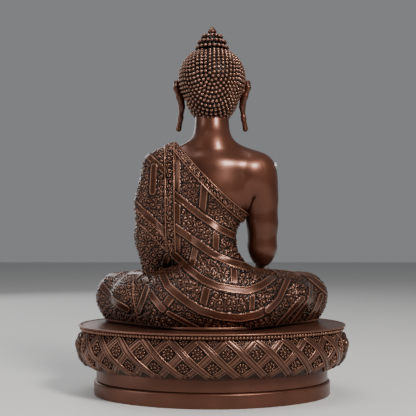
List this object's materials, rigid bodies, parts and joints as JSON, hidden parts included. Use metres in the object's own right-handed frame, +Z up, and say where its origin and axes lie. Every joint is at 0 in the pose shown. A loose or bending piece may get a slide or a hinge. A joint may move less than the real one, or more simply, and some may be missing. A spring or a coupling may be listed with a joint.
{
  "type": "buddha statue",
  "caption": "Seated cross-legged copper figure in a carved robe on an oval cushion seat with a beaded rim, a lattice band and a stepped plinth.",
  "frame": {"origin": "on the floor, at the middle of the oval base", "axes": "the figure faces -Y, its right arm is at -X, +Z is up"},
  "size_m": [0.1928, 0.15, 0.2557],
  "materials": {
    "base": "dark red-brown patina, cast copper, worn on raised edges",
    "robe": "dark red-brown patina with near-black recesses, carved relief",
    "raised_robe": "red-brown patina rubbed brighter on the piping and bands",
    "skin": "smooth satin red-brown patina",
    "hair": "dark patina with rubbed bead tops",
    "plate": "plain sheet, dull brown",
    "steel": "plain machine finish"
  },
  "bodies": {
    "root": {"plinth_foot": "base", "plinth_step": "base", "cushion_band": "base", "bead_ring": "base", "seat_tray": "base", "left_end_scroll": "base", "right_end_scroll": "base", "bottom_plate": "plate", "plate_screws": "steel", "seat_lip": "base", "figure_studs": "steel", "stud_washers": "steel", "stud_nuts": "steel", "crossed_legs": "robe", "robe_torso": "robe", "bare_torso": "skin", "collar_border": "raised_robe", "shoulder_flap": "raised_robe", "left_sleeve": "robe", "left_hand": "skin", "right_arm": "skin", "right_hand": "skin", "arm_dowel": "steel", "right_foot": "skin", "left_foot": "skin", "head": "skin", "neck_dowel": "steel", "hair_cap": "hair", "ushnisha": "hair", "finial": "hair", "left_ear": "skin", "right_ear": "skin", "forehead_dot": "skin"}
  },
  "joints": []
}
